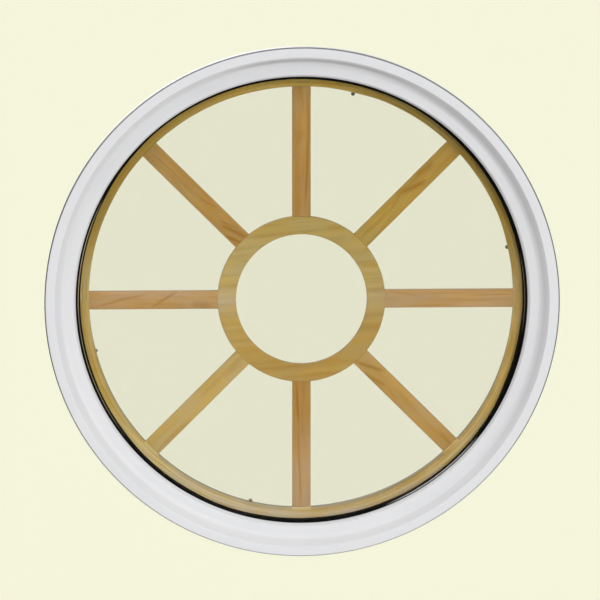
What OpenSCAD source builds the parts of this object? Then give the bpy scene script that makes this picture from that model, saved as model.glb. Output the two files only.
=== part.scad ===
// Round fixed window: white moulded frame, insulated glass and a spoked wooden grille.
// Built about Z with the exterior at +Z, then stood up so that the exterior faces -Y and +Z is up.
// The origin is the window's centre in the plane of the wall's outer face.

/* [Frame] */
// Outside diameter of the white moulding
frame_d = 724; // [640:1:800]
// Thickness of the moulding in front of the wall
moulding_t = 18; // [16:0.5:26]
// Radius of the rounded outer front edge
edge_r = 2.5; // [1:0.1:4]
// Width of the flat outer band
outer_band_w = 14.5; // [10:0.1:18]
// Width of the cove between the two bands
cove_w = 15; // [13:0.1:18]
// Depth of the cove, from the outer band to the inner band
cove_drop = 16; // [12:0.5:18]
// Steepness of the cove's straight upper part, in degrees
cove_angle = 60; // [58:1:64]
// Width of the flat inner band
inner_band_w = 10.8; // [8:0.1:13]
// Radial width of the sloped sight edge
sight_slope_w = 3.8; // [2.5:0.1:6]
// Depth from the inner band to the back of the sight edge
sight_slope_h = 9; // [6:0.5:12]
// Overlap of the moulding on the wall
flange_w = 12.75; // [9:0.25:16]

/* [Jamb] */
// Depth of the jamb behind the wall's outer face
jamb_depth = 115.9; // [100:0.1:200]
// Thickness of the jamb
jamb_t = 17.25; // [15:0.25:19]
// Length of the jamb moulded with the frame, past the back of the glazing bead
spigot_past_bead = 12.2; // [10:0.1:30]
// Thickness of the tongue that joins the two parts of the jamb
tongue_t = 6; // [4:0.5:8]
// Length of the tongue
tongue_l = 9; // [5:0.5:9]
// Clearance all around the tongue
tongue_fit = 0.3; // [0.2:0.1:0.5]
// Bevel on the room edges of the jamb
jamb_bevel = 1; // [0.5:0.1:3]

/* [Glass] */
// Thickness of each pane
pane_t = 4; // [3:0.5:5]
// Gap between the panes
air_gap = 14; // [8:0.5:15]
// Clearance between the glass edge and the rabbet
glass_gap = 3; // [2.4:0.1:4]
// Distance that the glass unit stands below the frame's centre
glass_drop = 1.4; // [0:0.1:1.4]
// Width of the edge sealant
sealant_w = 6.1; // [4:0.1:7]
// Width of the spacer bar
spacer_w = 7; // [5:0.5:8]
// Slant of the spacer bar's inner face, wider at the inner pane
spacer_slant = 1.2; // [0.4:0.1:2]
// Clearance between the rings inside the glass unit
ring_fit = 0.3; // [0.2:0.1:0.5]
// Length of each setting block along the glass edge, in degrees
block_angle = 10; // [6:1:20]
// Angle of each setting block from the bottom of the window
block_place = 30; // [20:1:45]
// Clearance between a setting block and the curved faces beside it
block_fit = 0.3; // [0.2:0.1:0.5]

/* [Seals] */
// Thickness of the gasket between the sight edge and the glass
gasket_t = 2; // [1.5:0.1:3]
// Visible width of the gasket lip
gasket_w = 1.6; // [1.4:0.1:3]
// Height of the gasket lip above the back of the sight edge
gasket_rise = 0.6; // [0.3:0.1:1.5]
// Bevel on the gasket lip
gasket_bevel = 0.6; // [0.3:0.1:0.8]
// Width of the gasket's flat tail behind the sight edge
gasket_seat = 8; // [5:0.5:10]
// Thickness of the glazing tape behind the glass
tape_t = 0.8; // [0.5:0.1:1.5]

/* [Bead] */
// Thickness of the glazing bead along the window's axis
bead_t = 16; // [14:0.5:20]
// Step between the sight edge and the inner face of the bead
bead_step = 0.4; // [0:0.1:2]
// Clearance between the bead and the rabbet
bead_fit = 0.3; // [0.2:0.1:0.5]
// Bevel on the room edge of the bead
bead_bevel = 4; // [2:0.5:5]
// Number of brads that hold the bead
brad_count = 12; // [8:4:24]
// Diameter of a brad
brad_d = 1.6; // [1.2:0.1:2]
// Length of a brad
brad_l = 24; // [18:1:26]
// Diameter of a brad head
brad_head_d = 3; // [2.4:0.1:3.6]
// Thickness of a brad head
brad_head_t = 0.8; // [0.5:0.1:1.2]
// Distance of the brads from the start of the bead's bevel
brad_inset = 2.2; // [2:0.1:3]
// Clearance all around a brad
brad_fit = 0.1; // [0.05:0.05:0.2]

/* [Grille] */
// Thickness of the grille
grille_t = 8; // [7:0.5:12]
// Width of the spokes and of the hub ring
bar_w = 26; // [18:0.5:36]
// Radius of the eased edges
ease_r = 1.2; // [0.5:0.1:2]
// Outside diameter of the hub ring
hub_d = 237.6; // [180:0.1:300]
// Width of the rim
rim_w = 16.1; // [13:0.1:24]
// Clearance between the rim and the bead
rim_fit = 0.5; // [0.3:0.1:1]
// Clearance between the grille and the inner pane
grille_gap = 0.5; // [0.3:0.1:1]
// Clearance at the shaped ends of a spoke
joint_fit = 0.3; // [0.2:0.1:0.5]
// Diameter of a dowel
dowel_d = 5; // [3:0.1:5]
// Depth of a dowel in each wooden piece
dowel_depth = 10; // [6:0.5:11]
// Clearance all around a dowel
dowel_fit = 0.2; // [0.1:0.05:0.3]

/* [Push pins] */
// Diameter of a pin head
pin_head_d = 5.6; // [4.5:0.1:6.4]
// Height of a pin head
pin_head_h = 4.2; // [3.2:0.1:6]
// Diameter of a pin shank
pin_d = 2.4; // [1.8:0.1:3]
// Depth of a pin in the bead
pin_depth = 8; // [5:0.5:9]
// Angle between a pin and the level or upright line next to it
pin_angle = 14; // [8:0.5:20]
// Clearance all around a pin
pin_fit = 0.2; // [0.1:0.05:0.3]

/* [Hidden] */
$fn = 180;
cut = 1;
frame_r = frame_d / 2;
jamb_r = frame_r - flange_w;
bore_r = jamb_r - jamb_t;
cove_edge_r = frame_r - outer_band_w;
cove_in_r = cove_edge_r - cove_w;
slope_r = cove_in_r - inner_band_w;
sight_r = slope_r - sight_slope_w;
glass_r = bore_r - glass_gap;

front_z = moulding_t;
band_z = front_z - cove_drop;
lip_z = band_z - sight_slope_h;
outer_pane_z = lip_z - gasket_t;
gap_z = outer_pane_z - pane_t;
inner_pane_z = gap_z - air_gap;
room_glass_z = inner_pane_z - pane_t;
bead_z = room_glass_z - tape_t;
bead_back_z = bead_z - bead_t;
spigot_depth = spigot_past_bead - bead_back_z;
grille_z = room_glass_z - grille_gap;
grille_mid_z = grille_z - grille_t / 2;

cove_r = (cove_w * tan(cove_angle) - cove_drop) / (1 / cos(cove_angle) - 1);
cove_flat_w = cove_w - cove_r * sin(cove_angle);
slope_lean = sight_slope_w / sight_slope_h;

sealant_r = glass_r - sealant_w;
spacer_r = sealant_r - ring_fit;
spacer_shoulder = spacer_w / 4;

gasket_in_r = sight_r - gasket_w;

bead_in_r = sight_r + bead_step;
bead_out_r = bore_r - bead_fit;
brad_z = bead_back_z + bead_bevel + brad_inset;
brad_step = 360 / brad_count;

tongue_mid_r = jamb_r - jamb_t / 2;

hub_r = hub_d / 2;
hub_in_r = hub_r - bar_w;
rim_r = bead_in_r - rim_fit;
rim_in_r = rim_r - rim_w;
spoke_count = 8;
spoke_step = 360 / spoke_count;

pin_places = [pin_angle, 90 - pin_angle, 180 + pin_angle, 270 - pin_angle];
pin_seat = 0.1;
pin_dome_h = pin_head_h / 2;
pin_dome_r = (pin_head_d * pin_head_d / 4 + pin_dome_h * pin_dome_h) / (2 * pin_dome_h);

white_plastic = [0.88, 0.88, 0.89];
black_rubber = [0.05, 0.05, 0.05];
clear_glass = [0.85, 0.9, 0.9, 0.35];
spacer_metal = [0.45, 0.46, 0.48];
pine = [0.72, 0.55, 0.32];
pale_pine = [0.78, 0.63, 0.42];
pin_metal = [0.33, 0.34, 0.3];

// Turns the building axis so that the exterior faces -Y
module stand() {
    rotate([90, 0, 0])
        children();
}

// Round rod along a radius, at one angle and height
module radial_rod(angle, r0, r1, z, d) {
    rotate([0, 0, angle])
        translate([r0, 0, z])
            rotate([0, 90, 0])
                cylinder(h = r1 - r0, d = d, $fn = 48);
}

// Moves the glass unit down to where it stands on its blocks
module drop() {
    translate([0, -glass_drop, 0])
        children();
}

// Rectangle with all four corners rounded
module eased_section(x0, x1, y0, y1, r) {
    translate([x0 + r, y0])
        square([x1 - x0 - 2 * r, y1 - y0]);
    translate([x0, y0 + r])
        square([x1 - x0, y1 - y0 - 2 * r]);
    for (x = [x0 + r, x1 - r]) {
        for (y = [y0 + r, y1 - r]) {
            translate([x, y])
                circle(r = r, $fn = 48);
        }
    }
}

// Plain ring with a rectangular section
module ring(r0, r1, z0, z1) {
    rotate_extrude()
        translate([r0, z0])
            square([r1 - r0, z1 - z0]);
}

// Section of the white frame: moulding, sight edge and rabbet
module frame_section() {
    difference() {
        union() {
            polygon([
                [jamb_r, -spigot_depth],
                [jamb_r, 0],
                [frame_r, 0],
                [frame_r, front_z - edge_r],
                [frame_r - edge_r, front_z],
                [cove_edge_r, front_z],
                [cove_edge_r - cove_flat_w, front_z - cove_flat_w * tan(cove_angle)],
                [cove_in_r, band_z],
                [slope_r, band_z],
                [sight_r, lip_z],
                [bore_r, lip_z],
                [bore_r, -spigot_depth]
            ]);
            translate([frame_r - edge_r, front_z - edge_r])
                circle(r = edge_r, $fn = 48);
        }
        translate([cove_in_r, band_z + cove_r])
            circle(r = cove_r, $fn = 120);
    }
}

module exterior_frame() {
    color(white_plastic)
        stand()
            difference() {
                rotate_extrude()
                    frame_section();
                ring(tongue_mid_r - tongue_t / 2 - tongue_fit, tongue_mid_r + tongue_t / 2 + tongue_fit,
                    -spigot_depth - cut, -spigot_depth + tongue_l + tongue_fit);
                for (i = [0 : brad_count - 1]) {
                    radial_rod(i * brad_step, bore_r - cut, bead_in_r + brad_l + brad_fit, brad_z,
                        brad_d + 2 * brad_fit);
                }
            }
}

// Section of the gasket: flat tail behind the sight edge and bevelled lip in front of the glass
module gasket_section() {
    top_z = lip_z + gasket_rise;
    polygon([
        [gasket_in_r, outer_pane_z],
        [gasket_in_r, top_z - gasket_bevel],
        [gasket_in_r + gasket_bevel, top_z],
        [sight_r - ring_fit + slope_lean * gasket_rise, top_z],
        [sight_r - ring_fit, lip_z],
        [sight_r + gasket_seat, lip_z],
        [sight_r + gasket_seat, outer_pane_z]
    ]);
}

module exterior_gasket() {
    color(black_rubber)
        stand()
            rotate_extrude()
                gasket_section();
}

module outer_pane() {
    color(clear_glass)
        stand()
            drop()
                translate([0, 0, gap_z])
                    cylinder(h = pane_t, r = glass_r);
}

module inner_pane() {
    color(clear_glass)
        stand()
            drop()
                translate([0, 0, room_glass_z])
                    cylinder(h = pane_t, r = glass_r);
}

module spacer_bar() {
    color(spacer_metal)
        stand()
            drop()
                rotate_extrude()
                    polygon([
                        [spacer_r - spacer_w - spacer_slant, inner_pane_z],
                        [spacer_r - spacer_shoulder, inner_pane_z],
                        [spacer_r, inner_pane_z + spacer_shoulder],
                        [spacer_r, gap_z - spacer_shoulder],
                        [spacer_r - spacer_shoulder, gap_z],
                        [spacer_r - spacer_w, gap_z]
                    ]);
}

module edge_sealant() {
    color(black_rubber)
        stand()
            drop()
                ring(sealant_r, glass_r, inner_pane_z, gap_z);
}

// Block between the glass edge and the rabbet, centred on one angle
module setting_block(angle) {
    color(black_rubber)
        stand()
            difference() {
                rotate([0, 0, angle - block_angle / 2])
                    rotate_extrude(angle = block_angle)
                        translate([glass_r, room_glass_z])
                            square([glass_gap - block_fit, outer_pane_z - room_glass_z]);
                drop()
                    translate([0, 0, room_glass_z - cut])
                        cylinder(h = outer_pane_z - room_glass_z + 2 * cut, r = glass_r + block_fit);
            }
}

module setting_block_left() {
    setting_block(270 - block_place);
}

module setting_block_right() {
    setting_block(270 + block_place);
}

module glazing_tape() {
    color(black_rubber)
        stand()
            ring(bead_in_r + bead_fit, bead_out_r, bead_z, room_glass_z);
}

module glazing_bead() {
    color(pine)
        stand()
            difference() {
                rotate_extrude()
                    polygon([
                        [bead_in_r, bead_z],
                        [bead_in_r, bead_back_z + bead_bevel],
                        [bead_in_r + bead_bevel, bead_back_z],
                        [bead_out_r, bead_back_z],
                        [bead_out_r, bead_z]
                    ]);
                for (i = [0 : brad_count - 1]) {
                    radial_rod(i * brad_step, bead_in_r - cut, bead_out_r + cut, brad_z, brad_d + 2 * brad_fit);
                    radial_rod(i * brad_step, bead_in_r - cut, bead_in_r + brad_head_t + brad_fit, brad_z,
                        brad_head_d + 2 * brad_fit);
                }
                for (angle = pin_places) {
                    radial_rod(angle, bead_in_r - cut, bead_in_r + pin_depth + pin_fit, grille_mid_z,
                        pin_d + 2 * pin_fit);
                }
            }
}

module bead_brads() {
    color(pin_metal)
        stand()
            for (i = [0 : brad_count - 1]) {
                union() {
                    radial_rod(i * brad_step, bead_in_r, bead_in_r + brad_head_t, brad_z, brad_head_d);
                    radial_rod(i * brad_step, bead_in_r, bead_in_r + brad_l, brad_z, brad_d);
                }
            }
}

module jamb_extension() {
    color(pale_pine)
        stand()
            rotate_extrude()
                polygon([
                    [bore_r, -spigot_depth],
                    [tongue_mid_r - tongue_t / 2, -spigot_depth],
                    [tongue_mid_r - tongue_t / 2, -spigot_depth + tongue_l],
                    [tongue_mid_r + tongue_t / 2, -spigot_depth + tongue_l],
                    [tongue_mid_r + tongue_t / 2, -spigot_depth],
                    [jamb_r, -spigot_depth],
                    [jamb_r, -jamb_depth + jamb_bevel],
                    [jamb_r - jamb_bevel, -jamb_depth],
                    [bore_r + jamb_bevel, -jamb_depth],
                    [bore_r, -jamb_depth + jamb_bevel]
                ]);
}

module grille_rim() {
    color(pine)
        stand()
            difference() {
                rotate_extrude()
                    eased_section(rim_in_r, rim_r, grille_z - grille_t, grille_z, ease_r);
                for (i = [0 : spoke_count - 1]) {
                    radial_rod(i * spoke_step, rim_in_r - cut, rim_in_r + dowel_depth + dowel_fit, grille_mid_z,
                        dowel_d + 2 * dowel_fit);
                }
                for (angle = pin_places) {
                    radial_rod(angle, rim_in_r - cut, rim_r + cut, grille_mid_z, pin_d + 2 * pin_fit);
                }
            }
}

module grille_hub() {
    color(pine)
        stand()
            difference() {
                rotate_extrude()
                    eased_section(hub_in_r, hub_r, grille_z - grille_t, grille_z, ease_r);
                for (i = [0 : spoke_count - 1]) {
                    radial_rod(i * spoke_step, hub_r - dowel_depth - dowel_fit, hub_r + cut, grille_mid_z,
                        dowel_d + 2 * dowel_fit);
                }
            }
}

// Straight bar with one end hollowed to the hub and the other rounded to the rim
module spoke(angle) {
    hub_end = hub_r + joint_fit;
    rim_end = rim_in_r - joint_fit;
    color(pine)
        stand()
            rotate([0, 0, angle])
                difference() {
                    intersection() {
                        translate([hub_r - bar_w / 2, 0, 0])
                            rotate([90, 0, 90])
                                linear_extrude(height = rim_in_r - hub_r + bar_w / 2)
                                    eased_section(-bar_w / 2, bar_w / 2, grille_z - grille_t, grille_z, ease_r);
                        translate([0, 0, grille_z - grille_t - cut])
                            cylinder(h = grille_t + 2 * cut, r = rim_end);
                    }
                    translate([0, 0, grille_z - grille_t - cut])
                        cylinder(h = grille_t + 2 * cut, r = hub_end);
                    radial_rod(0, hub_end - cut, hub_end + dowel_depth + dowel_fit, grille_mid_z,
                        dowel_d + 2 * dowel_fit);
                    radial_rod(0, rim_end - dowel_depth - dowel_fit, rim_end + cut, grille_mid_z,
                        dowel_d + 2 * dowel_fit);
                }
}

module spoke_right() {
    spoke(0);
}

module spoke_upper_right() {
    spoke(spoke_step);
}

module spoke_top() {
    spoke(2 * spoke_step);
}

module spoke_upper_left() {
    spoke(3 * spoke_step);
}

module spoke_left() {
    spoke(4 * spoke_step);
}

module spoke_lower_left() {
    spoke(5 * spoke_step);
}

module spoke_bottom() {
    spoke(6 * spoke_step);
}

module spoke_lower_right() {
    spoke(7 * spoke_step);
}

module hub_dowels() {
    color(pale_pine)
        stand()
            for (i = [0 : spoke_count - 1]) {
                radial_rod(i * spoke_step, hub_r - dowel_depth, hub_r + joint_fit + dowel_depth, grille_mid_z,
                    dowel_d);
            }
}

module rim_dowels() {
    color(pale_pine)
        stand()
            for (i = [0 : spoke_count - 1]) {
                radial_rod(i * spoke_step, rim_in_r - joint_fit - dowel_depth, rim_in_r + dowel_depth,
                    grille_mid_z, dowel_d);
            }
}

// Push pin along the X axis, domed head toward the centre of the window
module push_pin() {
    head_x = rim_in_r - pin_seat - pin_head_h;
    translate([head_x, 0, 0])
        rotate([0, 90, 0])
            rotate_extrude($fn = 64) {
                intersection() {
                    translate([0, pin_dome_r])
                        circle(r = pin_dome_r);
                    square([pin_head_d / 2, pin_dome_h]);
                }
                translate([0, pin_dome_h])
                    square([pin_head_d / 2, pin_head_h - pin_dome_h]);
                translate([0, pin_dome_h])
                    square([pin_d / 2, bead_in_r + pin_depth - head_x - pin_dome_h]);
            }
}

module grille_pins() {
    color(pin_metal)
        stand()
            for (angle = pin_places) {
                rotate([0, 0, angle])
                    translate([0, 0, grille_mid_z])
                        push_pin();
            }
}

exterior_frame();
exterior_gasket();
outer_pane();
spacer_bar();
edge_sealant();
inner_pane();
setting_block_left();
setting_block_right();
glazing_tape();
glazing_bead();
bead_brads();
jamb_extension();
grille_rim();
grille_hub();
spoke_right();
spoke_upper_right();
spoke_top();
spoke_upper_left();
spoke_left();
spoke_lower_left();
spoke_bottom();
spoke_lower_right();
hub_dowels();
rim_dowels();
grille_pins();
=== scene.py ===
import math

import bpy
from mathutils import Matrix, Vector


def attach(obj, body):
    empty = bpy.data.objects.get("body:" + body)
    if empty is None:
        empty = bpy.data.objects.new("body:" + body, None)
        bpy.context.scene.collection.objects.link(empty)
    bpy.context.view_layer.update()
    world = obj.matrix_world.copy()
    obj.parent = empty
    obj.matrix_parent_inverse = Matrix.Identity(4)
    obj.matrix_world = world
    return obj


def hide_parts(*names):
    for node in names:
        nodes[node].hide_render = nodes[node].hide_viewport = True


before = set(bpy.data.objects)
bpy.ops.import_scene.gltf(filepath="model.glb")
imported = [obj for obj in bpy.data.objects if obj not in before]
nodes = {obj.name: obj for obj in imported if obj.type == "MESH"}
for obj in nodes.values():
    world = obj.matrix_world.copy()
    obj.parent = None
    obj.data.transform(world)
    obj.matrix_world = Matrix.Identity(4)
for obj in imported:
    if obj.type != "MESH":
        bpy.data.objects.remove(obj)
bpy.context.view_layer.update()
scene = bpy.context.scene

# Sizes in metres, in the CAD frame: the exterior faces -Y and +Z is up
MM = 0.001
# the glass unit stands on its blocks, this far below the frame's centre
GLASS_DROP = 0.0014
# the grille: its rim, its faces and their eased edges, its spokes, and a nearly square edge
RIM_IN_R, RIM_OUT_R = 0.3017, 0.3178
GRILLE_FRONT, GRILLE_BACK, EASE = 0.0315, 0.0395, 0.0012
HUB_END_R, BAR_HALF, JOINT_GAP = 0.11885, 0.013, 0.00005
SQUARE_EDGE = 0.0001
# the grain of a ring is laid out along a circle of this radius
GRAIN_R = 0.31
# degrees from spoke to spoke, and from a spoke's middle to its side at the rim
SPOKE_TURN, SPOKE_SIDE = 45.0, 2.4
SHARP_ABOVE = math.radians(32)
CREAM = (0.9131, 0.9131, 0.7084, 1.0)


# Small helpers for node trees
class Tree:
    def __init__(self, name):
        self.mat = bpy.data.materials.new(name)
        self.mat.use_nodes = True
        self.nt = self.mat.node_tree
        self.nt.nodes.clear()
        self.out = self.nt.nodes.new("ShaderNodeOutputMaterial")
        self.bsdf = self.nt.nodes.new("ShaderNodeBsdfPrincipled")
        self.nt.links.new(self.bsdf.outputs[0], self.out.inputs[0])

    def add(self, kind, **props):
        n = self.nt.nodes.new(kind)
        for k, v in props.items():
            setattr(n, k, v)
        return n

    def link(self, a, b):
        self.nt.links.new(a, b)

    def put(self, value, socket):
        if isinstance(value, bpy.types.NodeSocket):
            self.link(value, socket)
        else:
            socket.default_value = value

    def math(self, op, a, b=0.0, c=0.0):
        n = self.add("ShaderNodeMath", operation=op)
        for v, s in zip((a, b, c), n.inputs):
            self.put(v, s)
        return n.outputs[0]

    def xyz(self):
        sep = self.add("ShaderNodeSeparateXYZ")
        self.link(self.add("ShaderNodeTexCoord").outputs["Object"], sep.inputs[0])
        return sep.outputs

    def vec(self, x, y, z):
        n = self.add("ShaderNodeCombineXYZ")
        for v, s in zip((x, y, z), n.inputs):
            self.put(v, s)
        return n.outputs[0]

    def noise(self, vector, scale, detail=2.0, rough=0.5):
        n = self.add("ShaderNodeTexNoise")
        self.link(vector, n.inputs["Vector"])
        n.inputs["Scale"].default_value = scale
        n.inputs["Detail"].default_value = detail
        n.inputs["Roughness"].default_value = rough
        return n.outputs["Fac"]

    def ramp(self, fac, stops):
        n = self.add("ShaderNodeValToRGB")
        e = n.color_ramp.elements
        while len(e) < len(stops):
            e.new(0.5)
        for el, (p, c) in zip(e, stops):
            el.position = p
            el.color = c if len(c) == 4 else (*c, 1.0)
        self.link(fac, n.inputs[0])
        return n.outputs[0]

    def span(self, fac, lo, hi, to_lo, to_hi):
        n = self.add("ShaderNodeMapRange")
        self.link(fac, n.inputs["Value"])
        for name, v in (("From Min", lo), ("From Max", hi), ("To Min", to_lo), ("To Max", to_hi)):
            n.inputs[name].default_value = v
        return n.outputs[0]

    def mix(self, fac, a, b, blend="MIX"):
        n = self.add("ShaderNodeMix", data_type="RGBA", blend_type=blend)
        self.put(fac, n.inputs["Factor"])
        self.put(a, n.inputs["A"])
        self.put(b, n.inputs["B"])
        return n.outputs["Result"]

    def radius(self, x, z):
        return self.math("SQRT", self.math("ADD", self.math("MULTIPLY", x, x), self.math("MULTIPLY", z, z)))

    def lobe(self, x, z, deg, lo, hi, most=1.0):
        """A stretch around the window's axis, with deg as its middle: it starts where the cosine of the angle
        from there is lo and has grown to most where it is hi."""
        turn = self.math("SUBTRACT", self.math("ARCTAN2", z, x), math.radians(deg))
        return self.span(self.math("COSINE", turn), lo, hi, 0.0, most)

    def ring(self, r, r0, r1, r2, r3):
        """1 between the radii r1 and r2, and 0 inside r0 and outside r3."""
        return self.math("MULTIPLY", self.span(r, r0, r1, 0.0, 1.0), self.span(r, r2, r3, 1.0, 0.0))

    def bump(self, height, strength, distance):
        n = self.add("ShaderNodeBump")
        n.inputs["Strength"].default_value = strength
        n.inputs["Distance"].default_value = distance
        self.link(height, n.inputs["Height"])
        self.link(n.outputs[0], self.bsdf.inputs["Normal"])

    def set(self, **values):
        for k, v in values.items():
            self.put(v, self.bsdf.inputs[k.replace("_", " ")])


# painted shade on the frame's rounded outer edge: its tone at the top and bottom, then at the sides
EDGE_SHADE, EDGE_SHADE_SIDES = (0.13, 0.13, 0.16, 1.0), (0.045, 0.04, 0.075, 1.0)
# painted shade in the frame's cove
COVE_SHADE = (0.30, 0.30, 0.31, 1.0)


def white_plastic():
    t = Tree("white_plastic")
    x, y, z = t.xyz()
    p = t.vec(x, y, z)
    r = t.radius(x, z)
    broad = t.noise(p, 9.0, 3.0)
    fine = t.noise(p, 1400.0, 2.0)
    peel = t.noise(p, 260.0, 3.0, 0.55)
    col = t.ramp(broad, [(0.3, (0.765, 0.768, 0.782)), (0.7, (0.795, 0.797, 0.806))])
    # painted shade: a thin dark grey line on the rounded outer edge, darker at the sides and fainter at the
    # bottom
    edge = t.math("MULTIPLY", t.span(r, 0.3598, 0.3606, 0.0, 1.0), t.span(y, -0.0150, -0.0140, 1.0, 0.0))
    edge = t.math("MULTIPLY", edge, t.span(z, -0.36, -0.10, 0.55, 0.92))
    line = t.mix(t.span(t.math("ABSOLUTE", x), 0.26, 0.34, 0.0, 1.0), EDGE_SHADE, EDGE_SHADE_SIDES)
    col = t.mix(edge, col, line)
    # painted shade in the hollow of the cove: a thin line at the top, a broad veil at the right
    thin = t.math("MULTIPLY", t.lobe(x, z, 85, 0.906, 0.978, 0.40), t.ring(r, 0.3400, 0.3420, 0.3443, 0.3460))
    veil = t.math("MULTIPLY", t.lobe(x, z, 15, 0.5, 0.866, 0.20), t.ring(r, 0.3325, 0.3365, 0.3420, 0.3470))
    col = t.mix(t.math("MAXIMUM", thin, veil), col, COVE_SHADE)
    t.set(Base_Color=col, Roughness=t.span(peel, 0.3, 0.7, 0.40, 0.50), Specular_IOR_Level=0.35)
    t.bump(t.math("ADD", t.math("MULTIPLY", fine, 0.35), peel), 0.10, 0.0004)
    return t.mat


def rubber(name, dark, light, rough_lo, rough_hi, scale=220.0, pale=None):
    """pale is a paler stretch: its middle angle, the cosines where it starts and is full, its outer radius and
    its colour."""
    t = Tree(name)
    x, y, z = t.xyz()
    p = t.vec(x, y, z)
    a = t.noise(p, scale, 3.0, 0.6)
    b = t.noise(p, 40.0, 2.0)
    col = t.ramp(a, [(0.3, dark), (0.75, light)])
    if pale:
        deg, lo, hi, edge, tone = pale
        inside = t.span(t.radius(x, z), edge - 0.0002, edge, 1.0, 0.0)
        col = t.mix(t.math("MULTIPLY", t.lobe(x, z, deg, lo, hi), inside), col, (*tone, 1.0))
    t.set(Base_Color=col, Roughness=t.span(b, 0.3, 0.7, rough_lo, rough_hi), Specular_IOR_Level=0.04)
    t.bump(a, 0.25, 0.0003)
    return t.mat


def metal(name, lo, hi, rough_lo, rough_hi, metallic):
    t = Tree(name)
    x, y, z = t.xyz()
    p = t.vec(x, y, z)
    a = t.noise(p, 320.0, 3.0, 0.6)
    b = t.noise(p, 70.0, 2.0)
    t.set(Base_Color=t.ramp(b, [(0.3, lo), (0.7, hi)]), Roughness=t.span(a, 0.3, 0.7, rough_lo, rough_hi),
          Metallic=metallic)
    t.bump(a, 0.2, 0.0002)
    return t.mat


def pins():
    t = Tree("pin_metal")
    x, y, z = t.xyz()
    p = t.vec(x, y, z)
    a = t.noise(p, 320.0, 3.0, 0.6)
    b = t.noise(p, 90.0, 2.0)
    grey = t.ramp(b, [(0.3, (0.115, 0.115, 0.072)), (0.7, (0.185, 0.18, 0.118))])
    brown = t.ramp(b, [(0.3, (0.28, 0.20, 0.09)), (0.7, (0.40, 0.30, 0.15))])
    # the two pins at the lower left are browner
    col = t.mix(t.span(t.math("ADD", x, z), -0.05, 0.05, 1.0, 0.0), grey, brown)
    t.set(Base_Color=col, Roughness=t.span(a, 0.3, 0.7, 0.35, 0.55), Metallic=0.2)
    t.bump(a, 0.2, 0.0002)
    return t.mat


# How a vein fades: towards its ends, across itself, and how far it wanders (m)
MARK_FADE, MARK_SPREAD, MARK_FALLOFF, MARK_GAIN, MARK_WANDER = 0.25, 2.4, 1.4, 1.25, 0.008
MARK_TONE = (0.74, 0.56, 0.22, 1.0)
WARM, COOL = (1.03, 0.98, 0.80), (0.98, 1.01, 1.16)
JAMB_PINE = (0.62, 0.44, 0.22)
ROOM_PINE = (0.64, 0.45, 0.20)


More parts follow.
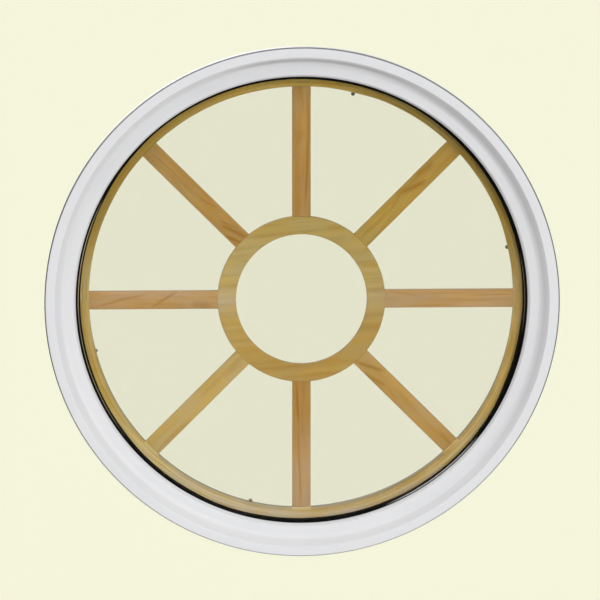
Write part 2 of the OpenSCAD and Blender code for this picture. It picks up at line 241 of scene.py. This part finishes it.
def wood(name, mid, grain, seed, angle=0.0, lean=0.0, vein=0.4, pitch=0.012, wobble=0.03, side=0.6,
         side_tone=(0.26, 0.20, 0.11), marks=(), depth=1.0, ends=None, sway=None, low_edge_shade=None):
    """Pine. grain "line" runs along one direction of the window's plane, "ring" runs around its axis.
    mid is one tone, or (height, tone) stops; seed picks the pattern; depth scales its light and dark bands.
    lean, vein, pitch and wobble are the growth lines' drift, strength, spacing and waviness.
    side and side_tone are painted shade on the faces that turn away from the front.
    Each mark is one darker vein: start and end along the grain, place across it at both, half width, strength.
    ends is painted light, the tones towards the hub and towards the rim that mostly lift the rim end against the
    frame's shade.
    sway is painted light and shade from left to right: the tones at the left and at the right, and how far from
    the middle they are reached.
    worn is painted shade, a darker inner edge on the lower half: the radii where it is full and gone, its tone
    and strength."""
    t = Tree(name)
    x, y, z = t.xyz()
    if grain == "line":
        c, s = math.cos(angle), math.sin(angle)
        along = t.math("ADD", t.math("MULTIPLY", x, c), t.math("MULTIPLY", z, s))
        across = t.math("SUBTRACT", t.math("MULTIPLY", z, c), t.math("MULTIPLY", x, s))
    else:
        along = t.math("MULTIPLY", t.math("ARCTAN2", z, x), GRAIN_R)
        across = t.radius(x, z)

    def field(a, b, c, k, detail, rough=0.5):
        """Noise with a, b and c cycles per metre along the grain, across it and in depth."""
        deep = t.math("MULTIPLY_ADD", y, c, seed * k)
        place = t.vec(t.math("MULTIPLY", along, a), t.math("MULTIPLY", across, b), deep)
        return t.noise(place, 1.0, detail, rough)

    wander = field(9.0, 26.0, 20.0, 1.1, 2.0)
    band = field(3.0, 130.0, 90.0, 3.1, 3.0, 0.55)
    fibre = field(16.0, 900.0, 900.0, 7.7, 3.0, 0.6)
    cloud = field(24.0, 34.0, 30.0, 5.3, 2.0)
    gate = field(13.0, 30.0, 20.0, 2.3, 1.0)
    hue = field(20.0, 70.0, 40.0, 6.1, 2.0)
    shift = t.math("SUBTRACT", wander, 0.5)

    # growth lines that drift across the bar, shown only here and there
    u = t.math("ADD", t.math("MULTIPLY_ADD", along, lean, across), t.math("MULTIPLY", shift, wobble))
    wave = t.math("MULTIPLY_ADD", t.math("SINE", t.math("MULTIPLY", u, 2 * math.pi / pitch)), 0.5, 0.5)
    lines = t.math("MULTIPLY", t.math("POWER", wave, 6.0), t.span(gate, 0.46, 0.62, 0.0, vein))
    for l0, l1, c0, c1, half, power in marks:
        k = (c1 - c0) / (l1 - l0)
        fade = MARK_FADE * (l1 - l0)
        off = t.math("SUBTRACT", across, t.math("MULTIPLY_ADD", along, k, c0 - k * l0))
        off = t.math("ABSOLUTE", t.math("MULTIPLY_ADD", shift, MARK_WANDER, off))
        shown = t.math("MULTIPLY", t.span(along, l0, l0 + fade, 0.0, 1.0), t.span(along, l1 - fade, l1, 1.0, 0.0))
        streak = t.math("POWER", t.span(off, 0.0, MARK_SPREAD * half, 1.0, 0.0), MARK_FALLOFF)
        streak = t.math("MULTIPLY", streak, t.math("MULTIPLY", shown, min(MARK_GAIN * power, 1.0)))
        lines = t.math("MAXIMUM", lines, streak)

    # the pattern, as factors on the wood's tone: bands, clouds, fibres, lines, then warmer and paler patches
    light = (1 + 0.09 * depth, 1 + 0.11 * depth, 1 + 0.22 * depth, 1.0)
    deep = (1 - 0.13 * depth, 1 - 0.18 * depth, 1 - 0.34 * depth, 1.0)
    base = t.ramp(band, [(0.30, deep), (0.5, (1.0, 1.0, 1.0)), (0.70, light)])
    base = t.mix(t.span(cloud, 0.35, 0.68, 0.0, 0.55), base, light)
    base = t.mix(t.span(fibre, 0.40, 0.70, 0.0, 0.22), base, deep)
    base = t.mix(lines, base, MARK_TONE)
    base = t.mix(1.0, base, t.ramp(hue, [(0.36, WARM), (0.64, COOL)]), "MULTIPLY")
    room = t.mix(1.0, base, (*ROOM_PINE, 1.0), "MULTIPLY")

    if isinstance(mid[0], tuple):
        lo, hi = mid[0][0], mid[-1][0]
        tone = t.ramp(t.span(z, lo, hi, 0.0, 1.0), [((p - lo) / (hi - lo), c) for p, c in mid])
    else:
        tone = (*mid, 1.0)
    base = t.mix(1.0, base, tone, "MULTIPLY")
    # painted light: the spoke grows lighter towards the rim, against the frame's shade
    if ends:
        shade = t.ramp(t.span(along, 0.12, 0.30, 0.0, 1.0), [(0.25, ends[0]), (0.75, ends[1])])
        base = t.mix(1.0, base, shade, "MULTIPLY")
    # painted light and shade from left to right
    if sway:
        left, right, reach = sway
        shade = t.ramp(t.span(x, -reach, reach, 0.0, 1.0), [(0.05, left), (0.30, (1.0, 1.0, 1.0)), (0.95, right)])
        base = t.mix(1.0, base, shade, "MULTIPLY")
    if low_edge_shade:
        full, gone, edge_shade_tone, most = low_edge_shade
        # painted shade along the inner edge on the lower half
        low = t.math("MULTIPLY", t.span(z, -0.13, -0.03, most, 0.0), t.span(across, full, gone, 1.0, 0.0))
        # not where a spoke meets the edge
        spokes = t.math("COSINE", t.math("MULTIPLY", along, 360.0 / SPOKE_TURN / GRAIN_R))
        base = t.mix(t.math("MULTIPLY", low, t.span(spokes, 0.925, 0.945, 1.0, 0.0)), base, (*edge_shade_tone, 1.0))

    # painted shade: faces that turn away from the front are darker, and the room side is plain pine
    face = t.add("ShaderNodeSeparateXYZ")
    t.link(t.add("ShaderNodeNewGeometry").outputs["Normal"], face.inputs[0])
    front = t.math("ABSOLUTE", face.outputs[1])
    base = t.mix(t.span(front, 0.35, 0.9, side, 0.0), base, (*side_tone, 1.0))
    base = t.mix(t.span(face.outputs[1], 0.3, 0.8, 0.0, 1.0), base, room)
    t.set(Base_Color=base, Roughness=t.span(fibre, 0.3, 0.7, 0.45, 0.62), Specular_IOR_Level=0.3)
    t.bump(t.math("ADD", fibre, t.math("MULTIPLY", band, 0.6)), 0.25, 0.0003)
    return t.mat


def glass():
    t = Tree("clear_glass")
    x, y, z = t.xyz()
    ripple = t.noise(t.vec(x, y, z), 6.0, 2.0)
    t.set(Base_Color=(0.989, 0.989, 0.988, 1.0), Roughness=0.0, Specular_IOR_Level=0.25,
          Transmission_Weight=1.0, IOR=1.5)
    t.bump(ripple, 0.02, 0.0002)
    # light passes straight through
    clear = t.add("ShaderNodeBsdfTransparent")
    clear.inputs[0].default_value = (0.97, 0.972, 0.97, 1.0)
    path = t.add("ShaderNodeLightPath")
    mixer = t.add("ShaderNodeMixShader")
    t.link(t.math("MAXIMUM", path.outputs["Is Shadow Ray"], path.outputs["Is Diffuse Ray"]), mixer.inputs[0])
    t.link(t.bsdf.outputs[0], mixer.inputs[1])
    t.link(clear.outputs[0], mixer.inputs[2])
    t.link(mixer.outputs[0], t.out.inputs[0])
    return t.mat


def spacer_skin():
    t = Tree("spacer_edge")
    x, y, z = t.xyz()
    rough = t.noise(t.vec(x, y, z), 90.0, 3.0, 0.6)
    # painted reflection: the metal strip beside the sealant shows a tan glint at the left and faintly at the
    # right
    left = t.math("MAXIMUM", t.lobe(x, z, 170, 0.951, 0.985), t.lobe(x, z, 195, 0.914, 0.97, 0.6))
    painted_glint = t.math("MAXIMUM", left, t.lobe(x, z, 2, 0.982, 0.997, 0.5))
    strip = t.ring(t.radius(x, z), 0.3146, 0.3148, 0.3156, 0.3158)
    strip = t.math("MULTIPLY", strip, t.span(y, 0.0134, 0.0136, 1.0, 0.0))
    dark = t.ramp(rough, [(0.3, (0.002, 0.002, 0.002)), (0.7, (0.005, 0.005, 0.0045))])
    t.set(Base_Color=t.mix(t.math("MULTIPLY", painted_glint, strip), dark, (0.58, 0.46, 0.30, 1.0)),
          Roughness=t.span(rough, 0.3, 0.7, 0.6, 0.8), Specular_IOR_Level=0.03)
    t.bump(rough, 0.3, 0.0003)
    return t.mat


def assign(name, mat):
    o = nodes[name]
    o.data.materials.clear()
    o.data.materials.append(mat)


# Materials on the CAD nodes
WHITE = white_plastic()
assign("exterior_frame", WHITE)
LIP_BLACK = rubber("lip_black", (0.002, 0.002, 0.002), (0.006, 0.006, 0.006), 0.55, 0.7,
                   pale=(307, 0.966, 0.988, 0.3173, (0.50, 0.48, 0.48)))
BLACK = rubber("black_rubber", (0.006, 0.006, 0.006), (0.016, 0.016, 0.015), 0.25, 0.45)
for n in ("exterior_gasket", "setting_block_left", "setting_block_right", "glazing_tape"):
    assign(n, BLACK)
assign("edge_sealant", rubber("black_sealant", (0.01, 0.01, 0.01), (0.025, 0.025, 0.024), 0.5, 0.7, 120.0))
GLASS = glass()
assign("outer_pane", GLASS)
assign("inner_pane", GLASS)
assign("spacer_bar", metal("spacer_metal", (0.32, 0.33, 0.34), (0.42, 0.43, 0.45), 0.3, 0.5, 1.0))
assign("bead_brads", metal("brad_steel", (0.42, 0.42, 0.42), (0.58, 0.58, 0.57), 0.25, 0.45, 1.0))
assign("grille_pins", pins())

# Woods, as albedo
# the hub and the rim change tone from the bottom to the top of the window: height, then tone; on the rim this is
# painted light, painted shade from the frame at the top and painted light with a pale reflection at the bottom
HUB_PINE = (
    (-0.11, (0.562, 0.352, 0.080)), (-0.03, (0.572, 0.364, 0.084)), (0.0, (0.602, 0.442, 0.184)),
    (0.03, (0.582, 0.414, 0.126)), (0.11, (0.552, 0.388, 0.103)),
)
RIM_PINE_PAINTED_LIGHT = (
    (-0.31, (0.85, 0.67, 0.370)), (-0.25, (0.88, 0.68, 0.315)), (-0.15, (0.90, 0.62, 0.160)),
    (0.0, (0.78, 0.555, 0.190)), (0.13, (0.56, 0.380, 0.064)), (0.22, (0.63, 0.445, 0.095)),
    (0.31, (0.76, 0.535, 0.108)),
)
# the rim's veins: two browner stretches at the upper left, then thin streaks
RIM_MARKS = (
    (0.50, 0.95, 0.3090, 0.3090, 0.0150, 0.42), (0.46, 0.90, 0.3040, 0.3036, 0.0014, 0.60),
    (0.045, 0.20, 0.3095, 0.3112, 0.0006, 0.60), (0.23, 0.39, 0.3060, 0.3078, 0.0006, 0.55),
    (0.40, 0.54, 0.3088, 0.3070, 0.0006, 0.50), (0.62, 0.80, 0.3065, 0.3088, 0.0006, 0.50),
    (-0.90, -0.74, 0.3085, 0.3062, 0.0006, 0.55), (-0.68, -0.52, 0.3050, 0.3068, 0.0006, 0.40),
    (-0.30, -0.09, 0.3072, 0.3104, 0.0006, 0.55), (-0.48, -0.33, 0.3092, 0.3076, 0.0006, 0.35),
)
# name, tone, drift of the grain across the bar, the painted light towards the hub and towards the rim, and veins
SPOKES = (
    ("spoke_right", (0.627, 0.385, 0.158), 0.01, ((0.96, 0.97, 0.95), (1.05, 1.06, 1.07)),
     ((0.139, 0.231, -0.0083, -0.0083, 0.0012, 0.35), (0.231, 0.302, 0.0059, 0.0055, 0.0010, 0.40),
      (0.189, 0.302, -0.0009, -0.0012, 0.0018, 0.22))),
    ("spoke_upper_right", (0.544, 0.340, 0.057), -0.10, ((0.99, 1.04, 1.18), (1.0, 0.99, 1.04)),
     ((0.198, 0.247, 0.0094, -0.0068, 0.0030, 0.80), (0.235, 0.271, 0.0094, 0.0035, 0.0034, 0.60),
      (0.255, 0.300, -0.0056, -0.0041, 0.0015, 0.40), (0.119, 0.172, 0.0029, 0.0018, 0.0016, 0.35),
      (0.175, 0.212, 0.0010, 0.0084, 0.0016, 0.40), (0.221, 0.247, -0.0005, -0.0058, 0.0022, 0.60))),
    ("spoke_top", (0.545, 0.295, 0.066), 0.01, ((0.96, 0.975, 1.05), (1.08, 1.14, 1.30)),
     ((0.112, 0.310, -0.0052, -0.0089, 0.0013, 0.75), (0.148, 0.175, -0.0056, -0.0062, 0.0018, 0.50),
      (0.221, 0.244, 0.0077, -0.0027, 0.0040, 0.20))),
    ("spoke_upper_left", (0.558, 0.320, 0.073), 0.06, ((0.985, 0.975, 0.98), (1.04, 1.08, 1.27)),
     ((0.112, 0.142, 0.0005, 0.0120, 0.0022, 0.80), (0.112, 0.160, -0.0095, 0.0050, 0.0026, 0.75),
      (0.131, 0.165, -0.0097, 0.0025, 0.0014, 0.50), (0.172, 0.212, -0.0092, 0.0015, 0.0016, 0.45),
      (0.203, 0.302, 0.0018, 0.0, 0.0012, 0.35))),
    ("spoke_left", (0.638, 0.388, 0.153), 0.04, ((0.98, 0.99, 0.99), (1.04, 1.05, 1.09)),
     ((0.126, 0.158, 0.0084, 0.0059, 0.0034, 0.50), (0.174, 0.214, -0.0120, 0.0115, 0.0016, 0.65),
      (0.214, 0.295, -0.0088, 0.0090, 0.0016, 0.55), (0.229, 0.300, -0.0056, -0.0056, 0.0010, 0.25))),
    ("spoke_lower_left", (0.671, 0.468, 0.143), 0.04, ((0.99, 0.975, 0.985), (1.03, 1.01, 1.05)),
     ((0.227, 0.295, 0.0096, 0.0074, 0.0026, 0.40), (0.116, 0.152, 0.0080, 0.0, 0.0020, 0.22))),
    ("spoke_bottom", (0.586, 0.334, 0.111), -0.02, ((0.93, 0.88, 0.57), (1.09, 1.20, 1.66)),
     ((0.116, 0.185, -0.0080, -0.0030, 0.0014, 0.80), (0.165, 0.306, -0.0038, -0.0022, 0.0012, 0.60),
      (0.146, 0.204, 0.0015, 0.0025, 0.0010, 0.35))),
    ("spoke_lower_right", (0.618, 0.368, 0.102), -0.08, ((0.96, 0.98, 0.94), (1.04, 1.08, 1.25)),
     ((0.114, 0.160, -0.0098, 0.0110, 0.0020, 0.75), (0.136, 0.177, -0.0125, -0.0030, 0.0020, 0.60),
      (0.270, 0.304, 0.0036, 0.0016, 0.0018, 0.50), (0.175, 0.200, -0.0039, -0.0080, 0.0016, 0.35))),
)
RIM_WOOD = wood("pine_rim", RIM_PINE_PAINTED_LIGHT, "ring", 1.3, lean=0.01, vein=0.8, pitch=0.0055, wobble=0.012,
                side=0.8, side_tone=(0.20, 0.19, 0.15), depth=1.8, marks=RIM_MARKS,
                low_edge_shade=(0.2998, 0.3060, (0.36, 0.29, 0.17), 0.85),
                sway=((0.965, 0.99, 1.0), (1.0, 0.985, 1.0), 0.25))
assign("grille_rim", RIM_WOOD)
assign("grille_hub", wood("pine_hub", HUB_PINE, "line", 4.2, 0.10, lean=0.05, vein=0.18, pitch=0.02, depth=1.1,
                          sway=((1.05, 1.08, 1.16), (0.98, 0.98, 0.98), 0.11)))
for i, (n, tone, lean, ends, marks) in enumerate(SPOKES):
    assign(n, wood("pine_" + n, tone, "line", 11.0 + 2.7 * i, math.radians(SPOKE_TURN * i), lean=lean, vein=0.3,
                   marks=marks, ends=ends))
assign("jamb_extension", wood("pine_jamb", JAMB_PINE, "ring", 7.9, vein=0.4, side=0.0))
assign("glazing_bead", wood("pine_bead", JAMB_PINE, "ring", 9.4, vein=0.35, side=0.0))
DOWEL = wood("dowel_wood", JAMB_PINE, "ring", 2.2)
assign("hub_dowels", DOWEL)
assign("rim_dowels", DOWEL)


# Pieces that take the place of a CAD node
def new_piece(name, verts, faces):
    mesh = bpy.data.meshes.new(name)
    mesh.from_pydata(verts, [], faces)
    mesh.shade_smooth()
    mesh.set_sharp_from_angle(angle=SHARP_ABOVE)
    ob = bpy.data.objects.new(name, mesh)
    scene.collection.objects.link(ob)
    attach(ob, "root")
    return ob


def revolve(name, section, drop=0.0, steps=480):
    """A ring about the window's axis, lowered by drop. section is a closed list of (radius, depth) points,
    or gives one for an angle."""
    verts, faces = [], []
    for i in range(steps):
        a = 2 * math.pi * i / steps
        points = section(a) if callable(section) else section
        n = len(points)
        if sum(p[0] * q[1] - q[0] * p[1] for p, q in zip(points, points[1:] + points[:1])) < 0:
            points = points[::-1]
        verts += [(r * math.cos(a), y, r * math.sin(a) - drop) for r, y in points]
        j = (i + 1) % steps
        for k in range(n):
            m = (k + 1) % n
            faces.append((i * n + k, i * n + m, j * n + m, j * n + k))
    return new_piece(name, verts, faces)


def arc(cx, cy, r, a0, a1, n):
    """n + 1 points on a circle, from a0 to a1 degrees."""
    turns = [math.radians(a0 + (a1 - a0) * i / n) for i in range(n + 1)]
    return [(cx + r * math.cos(a), cy + r * math.sin(a)) for a in turns]


def by_angle(points, a):
    """Value at an angle from (degrees, value) points, eased between them."""
    deg = math.degrees(a) % 360.0
    (d0, v0), (d1, v1) = next(pair for pair in zip(points, points[1:]) if pair[1][0] > deg)
    u = (deg - d0) / (d1 - d0)
    return v0 + (v1 - v0) * u * u * (3 - 2 * u)


# White frame with finely rounded arrises: wall side, outer edge, band, cove, inner band, sight slope, rabbet
FRAME = [(0.34925, 0.060), (0.34925, 0.0), (0.3615, 0.0), (0.362, -0.0005)]
FRAME += arc(0.3595, -0.0155, 0.0025, 0, -90, 10)
FRAME += arc(0.34785, -0.0174, 0.0006, -90, -150, 5)
FRAME += arc(0.3325, -0.01198, 0.00998, 30, 90, 12)
FRAME += [(0.3222, -0.002), (0.32185, -0.00192), (0.32158, -0.0017)]
FRAME += [(0.3188, 0.00535), (0.3186, 0.0060), (0.31862, 0.0065), (0.3189, 0.0069), (0.3192, 0.007)]
FRAME += [(0.332, 0.007), (0.332, 0.060)]
white = revolve("frame_moulding", FRAME)
white.data.materials.append(WHITE)
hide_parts("exterior_frame")

GASKET = [(0.3163, 0.0089), (0.31625, 0.0072), (0.3164, 0.00678), (0.3167, 0.0065), (0.3171, 0.0064),
          (0.31755, 0.0065), (0.3178, 0.0068), (0.31785, 0.0071), (0.3259, 0.0071), (0.3259, 0.0089)]
lip = revolve("gasket_lip", GASKET)
lip.data.materials.append(LIP_BLACK)
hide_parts("exterior_gasket")

# Spacer bar with a hand-run bead of black sealant along its inner face: degrees, then mm that it stands back
BEAD = ((0, -1.1), (18, -0.4), (30, 0.1), (45, 0.4), (60, 1.7), (80, 1.3), (100, 1.7), (128, 2.0), (142, 0.8),
        (152, -0.5), (165, -1.6), (190, -2.1), (212, -1.5), (228, 0.0), (240, 0.1), (250, 1.2), (262, 0.0),
        (275, -0.4), (290, 0.1), (300, 1.4), (312, 1.2), (328, 0.2), (340, -2.0), (350, -2.1), (360, -1.1))


def spacer_section(a):
    """Where the bead stands in from the bar, it does so behind the bar's front edge."""
    bead = MM * by_angle(BEAD, a)
    bar_edge = max(bead, 0.0)
    proud = bead - bar_edge
    return [(0.3226, 0.0148), (0.3210, 0.01315), (0.3147 + bar_edge, 0.01315),
            (0.3146 + bar_edge + 0.2 * proud, 0.0134), (0.3146 + bar_edge + 0.6 * proud, 0.0139),
            (0.3146 + bead, 0.0146), (0.3145 + bead, 0.0160), (0.31445 + bead, 0.0263), (0.3147 + bead, 0.02685),
            (0.3210, 0.02685), (0.3226, 0.0252)]


spacer = revolve("spacer_edge_ring", spacer_section, GLASS_DROP)
spacer.data.materials.append(spacer_skin())
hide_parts("spacer_bar")

# Grille rim, whose inner edge was cut by hand: degrees, then mm that the edge stands in from its plain circle
RIM_EDGE = ((0, 1.3), (12, 0.7), (24, -0.9), (45, -1.7), (68, -1.9), (76, -0.6), (84, -0.9), (98, -0.7),
            (112, -1.2), (140, -0.9), (158, 0.3), (175, 1.1), (195, 1.7), (215, 1.0), (240, 0.5), (258, 0.5),
            (285, 2.0), (310, 1.7), (330, 1.5), (345, 1.6), (360, 1.3))


def rim_edge(a):
    return RIM_IN_R - MM * by_angle(RIM_EDGE, a)


def eased(u0, u1, low=EASE):
    """Section from u0 to u1 and through the grille's thickness, with rounded corners; low is the radius at u0."""
    corners = ((u1 - EASE, GRILLE_BACK - EASE, EASE), (u0 + low, GRILLE_BACK - low, low),
               (u0 + low, GRILLE_FRONT + low, low), (u1 - EASE, GRILLE_FRONT + EASE, EASE))
    return [p for k, (u, y, r) in enumerate(corners) for p in arc(u, y, r, 90 * k, 90 * k + 90, 5)]


def rim_section(a):
    """The edge is left square where a spoke meets it."""
    half = SPOKE_TURN / 2
    from_spoke = abs((math.degrees(a) + half) % SPOKE_TURN - half)
    return eased(rim_edge(a), RIM_OUT_R, SQUARE_EDGE if from_spoke < SPOKE_SIDE else EASE)


rim = revolve("grille_rim_ring", rim_section)
rim.data.materials.append(RIM_WOOD)
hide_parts("grille_rim")


def bar(name, angle, steps=24):
    """A spoke from the hub to the rim's inner edge."""
    c, s = math.cos(angle), math.sin(angle)
    section = eased(-BAR_HALF, BAR_HALF)
    n = len(section)
    verts, faces = [], []
    for k in range(steps + 1):
        for w, y in section:
            end = rim_edge(angle + w / RIM_IN_R) - JOINT_GAP
            l0, l1 = math.sqrt(HUB_END_R ** 2 - w * w), math.sqrt(end * end - w * w)
            along = l0 + (l1 - l0) * k / steps
            verts.append((along * c - w * s, y, along * s + w * c))
    for k in range(steps):
        for i in range(n):
            j = (i + 1) % n
            faces.append((k * n + j, k * n + i, (k + 1) * n + i, (k + 1) * n + j))
    faces.append(tuple(range(n)))
    faces.append(tuple(steps * n + i for i in reversed(range(n))))
    ob = new_piece(name + "_bar", verts, faces)
    ob.data.materials.append(nodes[name].data.materials[0])
    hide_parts(name)


for i, spoke in enumerate(SPOKES):
    bar(spoke[0], math.radians(SPOKE_TURN * i))


# Floor, world, lights and camera
FLOOR_NEAR, FLOOR_FAR, FLOOR_HALF, FLOOR_Z = -4.0, 40.0, 20.0, -1.6
FLOOR_GREY = (0.80, 0.80, 0.80, 1.0)
FLOOR_LIFT = 0.177
AMBIENT = (1.0, 1.0, 1.01, 1.0)
AMBIENT_FRONT, AMBIENT_BACK = 0.30, 0.45
# share of the backdrop that a mirror image of the side before the window loses
MIRROR_DIM = 0.97


def floor():
    """A cream floor that is lifted to the backdrop's tone where it is seen, and lights the part in plain grey."""
    mesh = bpy.data.meshes.new("floor")
    w, near, far = FLOOR_HALF, FLOOR_NEAR, FLOOR_FAR
    corners = ((-w, near), (w, near), (w, far), (-w, far))
    mesh.from_pydata([(x, y, FLOOR_Z) for x, y in corners], [], [(0, 1, 2, 3)])
    ob = bpy.data.objects.new("floor", mesh)
    scene.collection.objects.link(ob)
    t = Tree("floor_cream")
    t.nt.nodes.remove(t.bsdf)
    t.bsdf = t.add("ShaderNodeBsdfDiffuse")
    path = t.add("ShaderNodeLightPath").outputs
    seen = t.math("MAXIMUM", path["Is Transmission Ray"], path["Is Glossy Ray"])
    seen = t.math("MAXIMUM", path["Is Camera Ray"], seen)
    t.link(t.mix(seen, FLOOR_GREY, CREAM), t.bsdf.inputs[0])
    lift = t.add("ShaderNodeEmission")
    lift.inputs[0].default_value = CREAM
    t.link(t.math("MULTIPLY", seen, FLOOR_LIFT), lift.inputs[1])
    both = t.add("ShaderNodeAddShader")
    t.link(t.bsdf.outputs[0], both.inputs[0])
    t.link(lift.outputs[0], both.inputs[1])
    t.link(both.outputs[0], t.out.inputs[0])
    mesh.materials.append(t.mat)


floor()

world = bpy.data.worlds.new("studio")
scene.world = world
world.use_nodes = True
wt = world.node_tree
wt.nodes.clear()


def wnode(kind, **props):
    n = wt.nodes.new(kind)
    for k, v in props.items():
        setattr(n, k, v)
    return n


def wmath(op, a, b):
    n = wnode("ShaderNodeMath", operation=op)
    for v, s in zip((a, b), n.inputs):
        if isinstance(v, bpy.types.NodeSocket):
            wt.links.new(v, s)
        else:
            s.default_value = v
    return n.outputs[0]


def wspan(src, lo, hi, to_lo, to_hi):
    n = wnode("ShaderNodeMapRange", interpolation_type="SMOOTHSTEP")
    wt.links.new(src, n.inputs["Value"])
    for k, v in (("From Min", lo), ("From Max", hi), ("To Min", to_lo), ("To Max", to_hi)):
        n.inputs[k].default_value = v
    return n.outputs[0]


w_path = wnode("ShaderNodeLightPath").outputs
w_dir = wnode("ShaderNodeSeparateXYZ")
wt.links.new(wnode("ShaderNodeTexCoord").outputs["Generated"], w_dir.inputs[0])
# what lights the part, then what is seen behind it and in it
w_light = wnode("ShaderNodeBackground")
w_light.inputs[0].default_value = AMBIENT
wt.links.new(wspan(w_dir.outputs[1], 0.0, 0.2, AMBIENT_FRONT, AMBIENT_BACK), w_light.inputs[1])
w_back = wnode("ShaderNodeBackground")
w_back.inputs[0].default_value = CREAM
mirrored = wmath("MINIMUM", w_path["Glossy Depth"], 1.0)
dim = wmath("MULTIPLY", mirrored, wspan(w_dir.outputs[1], -0.6, 0.3, MIRROR_DIM, 0.0))
wt.links.new(wmath("SUBTRACT", 1.0, dim), w_back.inputs[1])
w_seen = wmath("MAXIMUM", w_path["Is Transmission Ray"], w_path["Is Glossy Ray"])
w_seen = wmath("MAXIMUM", w_path["Is Camera Ray"], w_seen)
w_mix = wnode("ShaderNodeMixShader")
wt.links.new(w_seen, w_mix.inputs[0])
wt.links.new(w_light.outputs[0], w_mix.inputs[1])
wt.links.new(w_back.outputs[0], w_mix.inputs[2])
wt.links.new(w_mix.outputs[0], wnode("ShaderNodeOutputWorld").inputs[0])

# Soft lamps far off: degrees from the window's axis, then around it from the right, then strength
LAMPS = (("key", 25, 45, 1.18), ("side", 60, 0, 0.52), ("top", 60, 119, 0.92), ("back", 155, 120, 1.0))
LAMP_SPREAD = math.radians(34.0)
for name, off, turn, power in LAMPS:
    data = bpy.data.lights.new(name, "SUN")
    data.energy = power
    data.angle = LAMP_SPREAD
    ob = bpy.data.objects.new(name, data)
    scene.collection.objects.link(ob)
    o, r = math.radians(off), math.radians(turn)
    shine = Vector((-math.sin(o) * math.cos(r), math.cos(o), -math.sin(o) * math.sin(r)))
    ob.rotation_euler = shine.to_track_quat("-Z", "Y").to_euler()

# The photo's camera, and where it aims in pixels of the picture from the window's centre
ELEVATION, AZIMUTH, DISTANCE = 9.33, -2.15, 5.5
PX_PER_M, PICTURE_PX, SENSOR_MM = 710.4, 600.0, 36.0
AIM_RIGHT_PX, AIM_UP_PX = -2.26, 2.56
el, az = math.radians(ELEVATION), math.radians(AZIMUTH)
out = Vector((math.sin(az) * math.cos(el), -math.cos(az) * math.cos(el), math.sin(el)))
right = Vector((math.cos(az), math.sin(az), 0.0))
up = right.cross(-out)
cam_data = bpy.data.cameras.new("camera")
cam = bpy.data.objects.new("camera", cam_data)
scene.collection.objects.link(cam)
cam_data.sensor_width = SENSOR_MM
cam_data.lens = SENSOR_MM * PX_PER_M * DISTANCE / PICTURE_PX
cam_data.clip_end = 60.0
cam.location = right * (AIM_RIGHT_PX / PX_PER_M) + up * (AIM_UP_PX / PX_PER_M) + out * DISTANCE
cam.rotation_euler = (-out).to_track_quat("-Z", "Y").to_euler()
scene.camera = cam
scene.view_settings.view_transform = "Standard"
